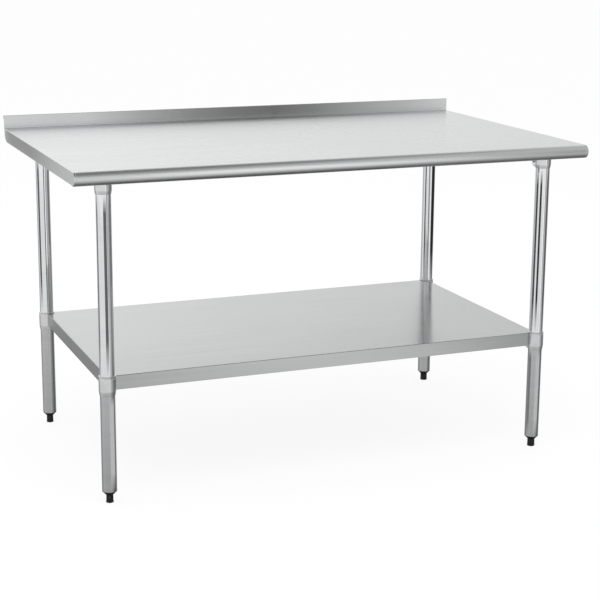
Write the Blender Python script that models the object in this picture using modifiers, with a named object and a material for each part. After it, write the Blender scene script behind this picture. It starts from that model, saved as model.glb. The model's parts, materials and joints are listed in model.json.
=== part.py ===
"""A stainless work table: folded worktop with a rolled front edge and a low rear upstand,
four round legs on levelling feet, and an undershelf that slides up and down the legs.

Metres, +Z up. X runs along the table, -Y is its front, and the origin is on the floor
under the middle of the table.
"""

import math

import bmesh
import bpy
from mathutils import Matrix, Vector

# Driving dimensions, in metres.
TABLE_LENGTH = 1.524
TABLE_DEPTH = 0.914
WORK_HEIGHT = 0.935
UPSTAND_HEIGHT = 0.040
LEG_X = 0.664
LEG_FRONT_Y = -0.367
LEG_REAR_Y = 0.375
LEG_RADIUS = 0.02065
SHELF_HEIGHT = 0.360

# Sheet metal.
SHEET = 0.0012
GAP = 0.0003
FOLD_RADIUS = 0.002
FOLD_STEPS = 3

# Worktop sheet.
NOSE_RADIUS = 0.019
NOSE_STEPS = 20
NOSE_RETURN = 0.012
COVE_RADIUS = 0.003
COVE_STEPS = 4
HEM_DEPTH = 0.006
HEM_DROP = 0.012
HEM_RADIUS = 0.0015
HEM_STEPS = 2
REAR_CUT_LENGTH = 0.038
REAR_CUT_HEIGHT = 0.022

# Hat channels.
CHANNEL_DEPTH = 0.026
CHANNEL_FLAT = 0.070
CHANNEL_FLANGE = 0.020
CHANNEL_CLEARANCE = 0.006

# Leg tubes and their sockets.
ROUND_STEPS = 36
TUBE_WALL = 0.0012
SLIDE_CLEARANCE = 0.0004
LEG_BOTTOM = 0.034
SOCKET_DROP = 0.073
SOCKET_RADIUS = 0.0234
SOCKET_TAPER = 0.010
SOCKET_LIP_RADIUS = 0.0217
SOCKET_PLATE = 0.080
SOCKET_PLATE_THICKNESS = 0.003
RIB_THICKNESS = 0.006
RIB_STEPS = 6
RIB_LIFT = 0.001
SOCKET_RIB_REACH = 0.034
SOCKET_RIB_CURVE = 0.020

# Undershelf and its corner collars.
SHELF_APRON = 0.040
NOTCH_STEPS = 8
COLLAR_RADIUS = 0.0236
COLLAR_HEIGHT = 0.055
COLLAR_RISE = 0.003
COLLAR_TAPER = 0.013
COLLAR_EDGE = 0.001
EAR_THICKNESS = 0.002
EAR_REACH = 0.055
EAR_END_DEPTH = 0.0285
EAR_FOOT_DEPTH = 0.0385
EAR_STEPS = 6
COLLAR_RIB_REACH = 0.031
COLLAR_RIB_CURVE = 0.012

# Set screws and the bosses that they run in.
BOSS_RADIUS = 0.007
BOSS_REACH = 0.030
SCREW_RADIUS = 0.0038
SCREW_HOLE_RADIUS = 0.0041
SCREW_LENGTH = 0.014
SCREW_STEPS = 20
KEY_RADIUS = 0.0022
KEY_DEPTH = 0.004
SOCKET_SCREW_DROP = 0.052
COLLAR_SCREW_DROP = 0.032

# Levelling feet.
FOOT_STEPS = 28
INSERT_LENGTH = 0.025
INSERT_LIP = 0.001
CONE_BOTTOM = 0.0238
CONE_TOP_RADIUS = 0.0198
CONE_BOTTOM_RADIUS = 0.0120
STUD_RADIUS = 0.0048
STUD_HOLE_RADIUS = 0.0051
STUD_STEPS = 20
STUD_BOTTOM = 0.012
STUD_LENGTH = 0.052
FOOT_HEIGHT = 0.0235
FOOT_SIDES = 6
FOOT_TOP_RADIUS = 0.0112
FOOT_BOTTOM_RADIUS = 0.0120
FOOT_EDGE = 0.001
FOOT_TURNS = {"front_left": 16, "front_right": 40, "rear_right": 33, "rear_left": 22}

MERGE_DISTANCE = 0.00001
OVERLAP = 0.002

# Each corner's leg axis. They go round the table anticlockwise, seen from above.
CORNERS = {
    "front_left": (-LEG_X, LEG_FRONT_Y),
    "front_right": (LEG_X, LEG_FRONT_Y),
    "rear_right": (LEG_X, LEG_REAR_Y),
    "rear_left": (-LEG_X, LEG_REAR_Y),
}


# Scene set-up.


def clear_scene():
    for obj in list(bpy.data.objects):
        bpy.data.objects.remove(obj, do_unlink=True)


def make_collection(name):
    collection = bpy.data.collections.new(name)
    bpy.context.scene.collection.children.link(collection)
    return collection


def make_material(name, colour, roughness, metallic):
    material = bpy.data.materials.new(name)
    material.use_nodes = True
    shader = material.node_tree.nodes["Principled BSDF"]
    shader.inputs["Base Color"].default_value = (*colour, 1.0)
    shader.inputs["Roughness"].default_value = roughness
    shader.inputs["Metallic"].default_value = metallic
    return material


def add_part(name, mesh, material, location=(0.0, 0.0, 0.0), turn=0.0, parent=None):
    """Adds a mesh as a named piece of the table, turned about Z by turn radians."""
    part = bpy.data.objects.new(name, mesh)
    if not mesh.materials:
        mesh.materials.append(material)
    part.location = location
    part.rotation_euler = (0.0, 0.0, turn)
    part.parent = parent
    TABLE.objects.link(part)
    return part


def add_axis(name, location, turn=0.0, parent=None):
    """Adds an empty on a joint's axis."""
    axis = bpy.data.objects.new(name, None)
    axis.empty_display_size = 0.05
    axis.location = location
    axis.rotation_euler = (0.0, 0.0, turn)
    axis.parent = parent
    TABLE.objects.link(axis)
    return axis


# Shape helpers.


def arc_points(centre, radius, start, end, steps):
    """Points along an arc in a plane, from the start angle to the end angle in degrees."""
    points = []
    for step in range(steps + 1):
        angle = math.radians(start + (end - start) * step / steps)
        points.append((centre[0] + radius * math.cos(angle), centre[1] + radius * math.sin(angle)))
    return points


def mesh_from(bm, name):
    mesh = bpy.data.meshes.new(name)
    bm.to_mesh(mesh)
    bm.free()
    return mesh


def smooth_round_faces(mesh):
    mesh.shade_smooth()
    mesh.set_sharp_from_angle(angle=math.radians(35))


def baked_mesh(obj, name):
    """The object's mesh with its modifiers applied. The object itself is removed."""
    graph = bpy.context.evaluated_depsgraph_get()
    mesh = bpy.data.meshes.new_from_object(obj.evaluated_get(graph))
    mesh.name = name
    smooth_round_faces(mesh)
    bpy.data.objects.remove(obj, do_unlink=True)
    return mesh


def add_helper(name, mesh, location=(0.0, 0.0, 0.0)):
    """A cutter or a piece to be joined on: it takes part in Booleans and is never shown."""
    helper = bpy.data.objects.new(name, mesh)
    helper.location = location
    helper.hide_render = True
    helper.display_type = "WIRE"
    CUTTERS.objects.link(helper)
    return helper


def turned_helper(name, profile, steps):
    """A solid of revolution about Z. The profile is (radius, height) pairs, top to bottom."""
    bm = bmesh.new()
    points = [bm.verts.new((radius, 0.0, height)) for radius, height in profile]
    for first, second in zip(points, points[1:]):
        bm.edges.new((first, second))
    helper = add_helper(name, mesh_from(bm, name))
    screw = helper.modifiers.new("Turn", "SCREW")
    screw.steps = steps
    screw.render_steps = steps
    screw.use_merge_vertices = True
    screw.merge_threshold = MERGE_DISTANCE
    return helper


def ring_profile(outer, inner, top, bottom):
    """The closed section of a plain sleeve, down its outer side and up its inner side."""
    return [(outer, top), (outer, bottom), (inner, bottom), (inner, top), (outer, top)]


def rod_mesh(name, radius, start, end, steps, direction):
    """A cylinder from one distance to another along a direction through the origin."""
    bm = bmesh.new()
    bmesh.ops.create_cone(
        bm,
        cap_ends=True,
        segments=steps,
        radius1=radius,
        radius2=radius,
        depth=end - start,
    )
    along = Vector(direction).normalized()
    turn = Vector((0.0, 0.0, 1.0)).rotation_difference(along).to_matrix().to_4x4()
    place = Matrix.Translation(along * (start + end) / 2) @ turn
    bmesh.ops.transform(bm, matrix=place, verts=bm.verts)
    return mesh_from(bm, name)


def block_mesh(name, size, centre):
    bm = bmesh.new()
    bmesh.ops.create_cube(bm, size=1.0)
    bmesh.ops.scale(bm, vec=size, verts=bm.verts)
    bmesh.ops.translate(bm, vec=centre, verts=bm.verts)
    return mesh_from(bm, name)


def plate_mesh(name, outline, thickness, place):
    """A flat plate: a closed outline in its own XY plane, given its thickness, then placed."""
    curve = bpy.data.curves.new(name, "CURVE")
    curve.dimensions = "2D"
    curve.fill_mode = "BOTH"
    curve.extrude = thickness / 2
    spline = curve.splines.new("POLY")
    spline.points.add(len(outline) - 1)
    for point, (across, up) in zip(spline.points, outline):
        point.co = (across, up, 0.0, 1.0)
    spline.use_cyclic_u = True
    flat = bpy.data.objects.new(name, curve)
    CUTTERS.objects.link(flat)
    graph = bpy.context.evaluated_depsgraph_get()
    mesh = bpy.data.meshes.new_from_object(flat.evaluated_get(graph))
    bpy.data.objects.remove(flat, do_unlink=True)
    bm = bmesh.new()
    bm.from_mesh(mesh)
    bmesh.ops.remove_doubles(bm, verts=bm.verts, dist=MERGE_DISTANCE)
    bmesh.ops.transform(bm, matrix=place, verts=bm.verts)
    bmesh.ops.recalc_face_normals(bm, faces=bm.faces)
    bm.to_mesh(mesh)
    bm.free()
    return mesh


def combine(target, operation, other):
    boolean = target.modifiers.new(operation.title(), "BOOLEAN")
    boolean.operation = operation
    boolean.solver = "EXACT"
    boolean.object = other


def cut_and_joined(name, body, joined, cut):
    """One mesh: the body with pieces joined on and then holes cut out of it."""
    for other in joined:
        combine(body, "UNION", other)
    for other in cut:
        combine(body, "DIFFERENCE", other)
    mesh = baked_mesh(body, name)
    for other in (*joined, *cut):
        bpy.data.objects.remove(other, do_unlink=True)
    return mesh


# Folded sheet metal.


def face_outwards(bm, direction):
    """Makes the open sheet's normals agree, with its largest face along the direction."""
    bmesh.ops.recalc_face_normals(bm, faces=bm.faces)
    largest = max(bm.faces, key=lambda face: face.calc_area())
    if largest.normal.dot(Vector(direction)) < 0:
        bmesh.ops.reverse_faces(bm, faces=bm.faces)


def give_thickness(part):
    solidify = part.modifiers.new("Sheet", "SOLIDIFY")
    solidify.thickness = SHEET
    solidify.offset = -1.0
    solidify.use_even_offset = True


def fold_edges(bm, edges):
    """Rounds the sharp folds of a sheet."""
    bmesh.ops.bevel(
        bm,
        geom=edges,
        offset=FOLD_RADIUS,
        segments=FOLD_STEPS,
        profile=0.5,
        affect="EDGES",
    )


def worktop_profile():
    """The worktop's outer side in the YZ plane: rolled front edge, deck, then rear upstand."""
    front = -TABLE_DEPTH / 2
    rear = TABLE_DEPTH / 2
    nose_y = front + NOSE_RADIUS
    nose_z = WORK_HEIGHT - NOSE_RADIUS
    wall_y = rear - HEM_DEPTH
    top = WORK_HEIGHT + UPSTAND_HEIGHT
    bend_z = top - HEM_RADIUS
    points = [(nose_y + NOSE_RETURN, WORK_HEIGHT - 2 * NOSE_RADIUS)]
    points += arc_points((nose_y, nose_z), NOSE_RADIUS, 270, 90, NOSE_STEPS)
    cove = (wall_y - COVE_RADIUS, WORK_HEIGHT + COVE_RADIUS)
    points += arc_points(cove, COVE_RADIUS, -90, 0, COVE_STEPS)
    points += arc_points((wall_y + HEM_RADIUS, bend_z), HEM_RADIUS, 180, 90, HEM_STEPS)
    points += arc_points((rear - HEM_RADIUS, bend_z), HEM_RADIUS, 90, 0, HEM_STEPS)
    points.append((rear, top - HEM_DROP))
    return points


def make_worktop():
    """One sheet: the profile run along X, and an end plate folded down at each end."""
    bm = bmesh.new()
    half = TABLE_LENGTH / 2
    profile = worktop_profile()
    left = [bm.verts.new((-half, y, z)) for y, z in profile]
    edges = [bm.edges.new(pair) for pair in zip(left, left[1:])]
    made = bmesh.ops.extrude_edge_only(bm, edges=edges)["geom"]
    moved = [item for item in made if isinstance(item, bmesh.types.BMVert)]
    bmesh.ops.translate(bm, vec=(TABLE_LENGTH, 0.0, 0.0), verts=moved)
    right = sorted(moved, key=lambda vert: closest_index(profile, vert))
    last_shared = NOSE_STEPS + 2
    rear_y = profile[last_shared][0]
    bottom_z = WORK_HEIGHT - 2 * NOSE_RADIUS
    folds = []
    for row, x in ((left, -half), (right, half)):
        shared = row[: last_shared + 1]
        upper = bm.verts.new((x, rear_y, bottom_z + REAR_CUT_HEIGHT))
        lower = bm.verts.new((x, rear_y - REAR_CUT_LENGTH, bottom_z))
        bm.faces.new([*shared, upper, lower])
        folds += [bm.edges.get(pair) for pair in zip(shared, shared[1:])]
    face_outwards(bm, (0.0, 0.0, 1.0))
    fold_edges(bm, folds)
    worktop = add_part("worktop", mesh_from(bm, "worktop"), STAINLESS)
    smooth_round_faces(worktop.data)
    give_thickness(worktop)


def closest_index(profile, vert):
    """Where a vertex's Y and Z lie in the profile's list of points."""
    distances = [abs(vert.co.y - y) + abs(vert.co.z - z) for y, z in profile]
    return distances.index(min(distances))


def make_channel(name, top, ends, along_x, centre):
    """A hat channel under a deck whose underside is at the height top."""
    bm = bmesh.new()
    inner = CHANNEL_FLAT / 2
    outer = inner + CHANNEL_FLANGE
    low = top - CHANNEL_DEPTH + SHEET
    section = [(-outer, top), (-inner, top), (-inner, low), (inner, low), (inner, top), (outer, top)]
    row = [bm.verts.new((ends[0], across, height)) for across, height in section]
    edges = [bm.edges.new(pair) for pair in zip(row, row[1:])]
    made = bmesh.ops.extrude_edge_only(bm, edges=edges)["geom"]
    moved = [item for item in made if isinstance(item, bmesh.types.BMVert)]
    bmesh.ops.translate(bm, vec=(ends[1] - ends[0], 0.0, 0.0), verts=moved)
    folds = [edge for edge in bm.edges if len(edge.link_faces) == 2]
    face_outwards(bm, (0.0, 0.0, 1.0))
    fold_edges(bm, folds)
    turn = 0.0 if along_x else math.pi / 2
    channel = add_part(name, mesh_from(bm, name), GALVANISED, centre, turn)
    smooth_round_faces(channel.data)
    give_thickness(channel)
    return channel


def make_top_channels():
    underside = WORK_HEIGHT - SHEET - GAP
    cross_end = TABLE_DEPTH / 2 - NOSE_RADIUS - NOSE_RETURN - CHANNEL_CLEARANCE
    for side, sign in (("left", -1), ("right", 1)):
        name = f"top_channel_{side}"
        make_channel(name, underside, (-cross_end, cross_end), False, (sign * LEG_X, 0.0, 0.0))
    long_end = LEG_X - CHANNEL_FLAT / 2 - CHANNEL_FLANGE - CHANNEL_CLEARANCE
    make_channel("top_channel_long", underside, (-long_end, long_end), True, (0.0, 0.0, 0.0))


def make_undershelf(slide):
    """A deck with a round notch at each leg, and an apron folded down along each side."""
    bm = bmesh.new()
    notch = COLLAR_RADIUS + GAP
    outline = []
    for turn, centre in zip((0, 90, 180, 270), CORNERS.values()):
        outline += arc_points(centre, notch, 90 + turn, turn, NOTCH_STEPS)
    rim = [bm.verts.new((x, y, SHELF_HEIGHT)) for x, y in outline]
    bm.faces.new(rim)
    folds = []
    for start in range(NOTCH_STEPS, len(rim), NOTCH_STEPS + 1):
        folds.append(bm.edges.get((rim[start], rim[(start + 1) % len(rim)])))
    made = bmesh.ops.extrude_edge_only(bm, edges=folds)["geom"]
    lowered = [item for item in made if isinstance(item, bmesh.types.BMVert)]
    bmesh.ops.translate(bm, vec=(0.0, 0.0, -SHELF_APRON), verts=lowered)
    face_outwards(bm, (0.0, 0.0, 1.0))
    fold_edges(bm, [edge for edge in bm.edges if len(edge.link_faces) == 2])
    bmesh.ops.translate(bm, vec=-slide.location, verts=bm.verts)
    shelf = add_part("undershelf", mesh_from(bm, "undershelf"), STAINLESS, parent=slide)
    smooth_round_faces(shelf.data)
    give_thickness(shelf)
    inner = LEG_X - COLLAR_RADIUS - CHANNEL_FLAT / 2
    underside = -SHEET - GAP
    channel = make_channel("undershelf_channel", underside, (-inner, inner), True, (0.0, 0.0, 0.0))
    channel.parent = slide


# Legs, sockets and collars. Each has its axis on Z and its inner corner towards +X and +Y.


def inward_turn(axis):
    """The quarter turns about Z that point a piece's +X +Y corner into the table."""
    return math.atan2(-math.copysign(1, axis[1]), -math.copysign(1, axis[0])) - math.pi / 4


def upright_helper(name, outline, thickness, offset, angle):
    """A plate standing out from the leg's axis at an angle about Z, and offset from that line.
    The outline is (reach, height) pairs."""
    place = Matrix.Rotation(angle, 4, "Z") @ Matrix.Translation((0.0, offset, 0.0))
    mesh = plate_mesh(name, outline, thickness, place @ Matrix.Rotation(math.pi / 2, 4, "X"))
    return add_helper(name, mesh)


def rib_helper(top, bottom, reach, curve):
    """The rib on a sleeve's inner corner. Its foot curves in to the sleeve over the curve's height."""
    start = LEG_RADIUS + OVERLAP / 2
    outline = [(start, top), (reach, top)]
    for step in range(RIB_STEPS + 1):
        angle = math.pi / 2 * step / RIB_STEPS
        height = bottom + curve * (1 - math.sin(angle))
        outline.append((start + (reach - start) * math.cos(angle), height))
    return upright_helper("rib", outline, RIB_THICKNESS, 0.0, math.pi / 4)


def screw_boss(height):
    boss = rod_mesh("boss", BOSS_RADIUS, LEG_RADIUS + OVERLAP, BOSS_REACH, SCREW_STEPS, (1, 1, 0))
    return add_helper("boss", boss, (0.0, 0.0, height))


def screw_hole(height):
    end = LEG_RADIUS + GAP + SCREW_LENGTH + OVERLAP
    hole = rod_mesh("hole", SCREW_HOLE_RADIUS, 0.0, end, SCREW_STEPS, (1, 1, 0))
    return add_helper("hole", hole, (0.0, 0.0, height))


def socket_mesh():
    """A sleeve under a square plate, with a rib and a boss. Height 0 is the plate's top."""
    top = WORK_HEIGHT - SHEET - 2 * GAP - CHANNEL_DEPTH
    bottom = WORK_HEIGHT - SOCKET_DROP - top
    under_plate = -SOCKET_PLATE_THICKNESS
    overlap_z = under_plate + OVERLAP / 2
    profile = [
        (0.0, overlap_z),
        (SOCKET_RADIUS, overlap_z),
        (SOCKET_RADIUS, bottom + SOCKET_TAPER),
        (SOCKET_LIP_RADIUS, bottom),
        (0.0, bottom),
    ]
    sleeve = turned_helper("sleeve", profile, ROUND_STEPS)
    size = (SOCKET_PLATE, SOCKET_PLATE, SOCKET_PLATE_THICKNESS)
    plate = add_helper("plate", block_mesh("plate", size, (0.0, 0.0, under_plate / 2)))
    rib = rib_helper(overlap_z, bottom + RIB_LIFT, SOCKET_RIB_REACH, SOCKET_RIB_CURVE)
    screw_z = WORK_HEIGHT - SOCKET_SCREW_DROP - top
    bore_radius = LEG_RADIUS + SLIDE_CLEARANCE
    bore = rod_mesh("bore", bore_radius, bottom - OVERLAP, under_plate, ROUND_STEPS, (0, 0, 1))
    joined = [plate, rib, screw_boss(screw_z)]
    cut = [add_helper("bore", bore), screw_hole(screw_z)]
    return cut_and_joined("leg_socket", sleeve, joined, cut)


def collar_mesh():
    """A sleeve with a tapered lower end, two ears inside the aprons, a rib and a boss. Height 0
    is the undershelf's top surface."""
    top = COLLAR_RISE
    bottom = top - COLLAR_HEIGHT
    profile = [
        (0.0, top),
        (COLLAR_RADIUS - COLLAR_EDGE, top),
        (COLLAR_RADIUS, top - COLLAR_EDGE),
        (COLLAR_RADIUS, bottom + COLLAR_TAPER),
        (SOCKET_LIP_RADIUS, bottom),
        (0.0, bottom),
    ]
    sleeve = turned_helper("sleeve", profile, ROUND_STEPS)
    under_deck = -SHEET - GAP
    start = LEG_RADIUS + OVERLAP / 2
    outline = [(start, under_deck), (EAR_REACH, under_deck), (EAR_REACH, -EAR_END_DEPTH)]
    for step in range(1, EAR_STEPS + 1):
        angle = math.pi / 2 * step / EAR_STEPS
        reach = EAR_REACH - (EAR_REACH - start) * math.sin(angle)
        drop = EAR_END_DEPTH + (EAR_FOOT_DEPTH - EAR_END_DEPTH) * (1 - math.cos(angle))
        outline.append((reach, -drop))
    inside = SHEET + GAP + EAR_THICKNESS / 2
    ears = [
        upright_helper("ear", outline, EAR_THICKNESS, inside, 0.0),
        upright_helper("ear", outline, EAR_THICKNESS, -inside, math.pi / 2),
    ]
    rib = rib_helper(under_deck, bottom + RIB_LIFT, COLLAR_RIB_REACH, COLLAR_RIB_CURVE)
    bore_radius = LEG_RADIUS + SLIDE_CLEARANCE
    bore = rod_mesh("bore", bore_radius, bottom - OVERLAP, top + OVERLAP, ROUND_STEPS, (0, 0, 1))
    joined = [*ears, rib, screw_boss(-COLLAR_SCREW_DROP)]
    cut = [add_helper("bore", bore), screw_hole(-COLLAR_SCREW_DROP)]
    return cut_and_joined("shelf_collar", sleeve, joined, cut)


def screw_mesh():
    """A set screw along its own +X, from the leg's surface outwards, with a hexagon socket."""
    start = LEG_RADIUS + GAP
    end = start + SCREW_LENGTH
    body = add_helper("screw", rod_mesh("screw", SCREW_RADIUS, start, end, SCREW_STEPS, (1, 0, 0)))
    key = rod_mesh("key", KEY_RADIUS, end - KEY_DEPTH, end + OVERLAP, 6, (1, 0, 0))
    return cut_and_joined("set_screw", body, [], [add_helper("key", key)])


def tube_mesh():
    top = WORK_HEIGHT - 2 * SHEET - 2 * GAP - CHANNEL_DEPTH - SOCKET_PLATE_THICKNESS
    profile = ring_profile(LEG_RADIUS, LEG_RADIUS - TUBE_WALL, top, LEG_BOTTOM)
    return baked_mesh(turned_helper("tube", profile, ROUND_STEPS), "leg")


# Levelling feet. Each has its axis on Z.


def insert_mesh():
    """A plastic plug with a lip under the tube's end, a cone below it and a bore for the stud."""
    plug = LEG_RADIUS - TUBE_WALL - GAP
    lip = LEG_RADIUS
    lip_top = LEG_BOTTOM - GAP
    profile = [
        (STUD_HOLE_RADIUS, LEG_BOTTOM + INSERT_LENGTH),
        (plug, LEG_BOTTOM + INSERT_LENGTH),
        (plug, lip_top),
        (lip, lip_top),
        (lip, lip_top - INSERT_LIP),
        (CONE_TOP_RADIUS, lip_top - INSERT_LIP),
        (CONE_BOTTOM_RADIUS, CONE_BOTTOM),
        (STUD_HOLE_RADIUS, CONE_BOTTOM),
        (STUD_HOLE_RADIUS, LEG_BOTTOM + INSERT_LENGTH),
    ]
    return baked_mesh(turned_helper("insert", profile, FOOT_STEPS), "foot_insert")


def stud_mesh():
    top = STUD_BOTTOM + STUD_LENGTH
    stud = rod_mesh("foot_stud", STUD_RADIUS, STUD_BOTTOM, top, STUD_STEPS, (0, 0, 1))
    smooth_round_faces(stud)
    return stud


def foot_mesh():
    """A hexagonal block, a little wider at the floor, with softened edges and a stud hole."""
    bm = bmesh.new()
    bmesh.ops.create_cone(
        bm,
        cap_ends=True,
        segments=FOOT_SIDES,
        radius1=FOOT_BOTTOM_RADIUS,
        radius2=FOOT_TOP_RADIUS,
        depth=FOOT_HEIGHT,
        matrix=Matrix.Translation((0.0, 0.0, FOOT_HEIGHT / 2)),
    )
    upright = [edge for edge in bm.edges if abs(edge.verts[0].co.z - edge.verts[1].co.z) > OVERLAP]
    bmesh.ops.bevel(bm, geom=upright, offset=FOOT_EDGE, segments=3, profile=0.5, affect="EDGES")
    block = add_helper("foot", mesh_from(bm, "foot"))
    hole_bottom = STUD_BOTTOM - GAP
    hole_top = FOOT_HEIGHT + OVERLAP
    hole = rod_mesh("hole", STUD_HOLE_RADIUS, hole_bottom, hole_top, STUD_STEPS, (0, 0, 1))
    return cut_and_joined("foot", block, [], [add_helper("hole", hole)])


# Assembly.


def make_legs():
    """The pieces that repeat at the four corners and don't slide with the undershelf."""
    socket = socket_mesh()
    screw = screw_mesh()
    tube = tube_mesh()
    insert = insert_mesh()
    stud = stud_mesh()
    foot = foot_mesh()
    socket_z = WORK_HEIGHT - SHEET - 2 * GAP - CHANNEL_DEPTH
    screw_z = WORK_HEIGHT - SOCKET_SCREW_DROP
    for corner, (x, y) in CORNERS.items():
        turn = inward_turn((x, y))
        add_part(f"leg_socket_{corner}", socket, GALVANISED, (x, y, socket_z), turn)
        add_part(f"socket_screw_{corner}", screw, ZINC, (x, y, screw_z), turn + math.pi / 4)
        add_part(f"leg_{corner}", tube, POLISHED, (x, y, 0.0))
        add_part(f"foot_insert_{corner}", insert, BLACK_PLASTIC, (x, y, 0.0))
        travel = add_axis(f"foot_travel_axis_{corner}", (x, y, 0.0))
        add_part(f"foot_stud_{corner}", stud, ZINC, parent=travel)
        foot_turn = math.radians(FOOT_TURNS[corner])
        add_part(f"foot_{corner}", foot, BLACK_PLASTIC, turn=foot_turn, parent=travel)


def make_shelf():
    """The undershelf and all that slides with it, under one empty."""
    slide = add_axis("undershelf_slide_axis", (0.0, 0.0, SHELF_HEIGHT))
    bpy.context.view_layer.update()
    make_undershelf(slide)
    collar = collar_mesh()
    screw = bpy.data.meshes["set_screw"]
    for corner, (x, y) in CORNERS.items():
        turn = inward_turn((x, y))
        add_part(f"shelf_collar_{corner}", collar, CAST, (x, y, 0.0), turn, slide)
        lowered = (x, y, -COLLAR_SCREW_DROP)
        add_part(f"collar_screw_{corner}", screw, ZINC, lowered, turn + math.pi / 4, slide)


clear_scene()
TABLE = make_collection("stainless_work_table")
CUTTERS = make_collection("cutters")
STAINLESS = make_material("brushed_stainless", (0.74, 0.75, 0.76), 0.28, 1.0)
POLISHED = make_material("polished_stainless", (0.72, 0.73, 0.75), 0.12, 1.0)
GALVANISED = make_material("galvanised_steel", (0.60, 0.62, 0.64), 0.42, 1.0)
CAST = make_material("cast_aluminium", (0.68, 0.69, 0.71), 0.35, 1.0)
ZINC = make_material("zinc_plated_screw", (0.58, 0.59, 0.60), 0.30, 1.0)
BLACK_PLASTIC = make_material("black_plastic", (0.03, 0.03, 0.032), 0.45, 0.0)

make_worktop()
make_top_channels()
make_legs()
make_shelf()
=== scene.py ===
"""Looks of the stainless work table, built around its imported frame.

Metres, +Z up. X runs along the table, and -Y is its front.
"""

import json
import math

import bmesh
import bpy
from mathutils import Matrix, Vector, noise


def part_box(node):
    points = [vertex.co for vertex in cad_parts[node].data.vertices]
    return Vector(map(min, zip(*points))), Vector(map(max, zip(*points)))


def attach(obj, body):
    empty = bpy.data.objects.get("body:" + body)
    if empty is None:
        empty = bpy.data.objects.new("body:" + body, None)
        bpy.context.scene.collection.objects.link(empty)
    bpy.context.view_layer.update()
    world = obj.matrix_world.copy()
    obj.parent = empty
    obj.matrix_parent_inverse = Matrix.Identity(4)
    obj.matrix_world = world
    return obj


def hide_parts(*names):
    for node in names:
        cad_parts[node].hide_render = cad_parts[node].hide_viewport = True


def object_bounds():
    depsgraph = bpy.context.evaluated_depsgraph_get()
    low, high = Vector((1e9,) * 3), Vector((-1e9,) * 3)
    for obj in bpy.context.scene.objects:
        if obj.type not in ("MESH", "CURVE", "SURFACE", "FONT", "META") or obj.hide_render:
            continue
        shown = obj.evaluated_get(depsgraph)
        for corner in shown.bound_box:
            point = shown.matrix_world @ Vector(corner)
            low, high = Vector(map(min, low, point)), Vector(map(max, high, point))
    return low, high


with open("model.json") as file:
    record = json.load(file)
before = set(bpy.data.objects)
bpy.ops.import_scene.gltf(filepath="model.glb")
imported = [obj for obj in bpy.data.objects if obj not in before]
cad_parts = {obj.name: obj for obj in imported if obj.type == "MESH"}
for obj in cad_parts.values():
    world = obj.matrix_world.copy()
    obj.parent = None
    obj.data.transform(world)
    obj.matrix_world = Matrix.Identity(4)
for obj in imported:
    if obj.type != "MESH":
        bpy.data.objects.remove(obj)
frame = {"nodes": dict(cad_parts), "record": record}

cad_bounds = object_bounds()

CORNERS = ("front_left", "front_right", "rear_right", "rear_left")
SHEET_UV = "Sheet"
WHITE = (1.0, 1.0, 1.0, 1.0)

# Sheet metal.
SHEET = 0.0012
FOLD_RADIUS = 0.002
FOLD_STEPS = 6
DECK_SPLIT = 0.12
NOSE_STEPS = 56
NOSE_RETURN = 0.012
COVE_RADIUS = 0.003
COVE_STEPS = 8
HEM_DEPTH = 0.006
HEM_DROP = 0.012
HEM_RADIUS = 0.0015
HEM_STEPS = 6
REAR_CUT_LENGTH = 0.038
REAR_CUT_HEIGHT = 0.022
REAR_CUT_STEPS = 8
NOTCH_STEPS = 20
NOTCH_GAP = 0.0003
SEAM_INSET = 0.0065
SEAM_RADIUS = 0.0008
SEAM_ARC = (96, 262)
SEAM_FLATNESS = 0.6

# Round pieces.
LEG_STEPS = 96
SLEEVE_STEPS = 96
SMALL_STEPS = 48
TUBE_WALL = 0.0012
BORE_CLEARANCE = 0.0004

# Castings.
PLATE_THICKNESS = 0.003
SOCKET_TAPER = 0.010
COLLAR_TAPER = 0.013
LIP_CLEARANCE = 0.00065
RIB_THICKNESS = 0.006
EAR_THICKNESS = 0.002
BOSS_RADIUS = 0.007
BOSS_REACH = 0.030
CAST_EDGE = 0.0007
OVERLAP = 0.002
SCREW_HOLE_RADIUS = 0.0041
SOCKET_RADIUS = 0.0234
PLATE_CORNER = 0.006
SOCKET_RIB_REACH = 0.034
SOCKET_RIB_CURVE = 0.020
COLLAR_RIB_REACH = 0.031
COLLAR_RIB_CURVE = 0.012
EAR_DEPTH = 0.0285
EAR_CURVE = 0.010

# Welds.
SPOT_SPACING = 0.095
SPOT_MARGIN = 0.06
SPOT_INSET = 0.0095
SPOT_RADIUS = 0.0032
SPOT_HEIGHT = 0.0004
BEAD_RADIUS = 0.0024
BEAD_LENGTH = 0.052
BEAD_OFFSET = 0.0368
BEAD_SIDES = 12
BEAD_ROW = 0.0006
BEAD_RIPPLE = 0.0022
DOT_STEPS = 20

# Screws and studs.
SCREW_PITCH = 0.00125
SCREW_THREAD = 0.0005
STUD_PITCH = 0.0015
STUD_THREAD = 0.0006
THREAD_STEPS = 24
THREAD_ROWS = 6
# Distances from the leg's surface to a set screw's two ends.
SCREW_START = 0.0003
SCREW_END = 0.0143
STUD_GAP = 0.0003
# Each foot's turn, in degrees.
FOOT_TURNS = {"front_left": 16, "front_right": 40, "rear_right": 33, "rear_left": 22}

# Studio.
FLOOR_GLOW = 0.99
FLOOR_SHADE = 0.09
LAMP_PLACE = Vector((-0.8, -1.2, 4.2))
LAMP_SIZE = 4.5
LAMP_POWER = 120.0
# The camera's yaw, pitch and roll are in radians. Its lens and sensor are in millimetres.
CAMERA_PLACE = (-1.651, -4.224, 1.5587)
CAMERA_TURN = (0.3814, 0.2279, 0.0074)
CAMERA_LENS = 91.3
CAMERA_SENSOR = 36.0
CAMERA_SHIFT = -0.04
UPSTAND_CARD_GAP = 0.028
APRON_CARD_GAP = 0.012
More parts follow.
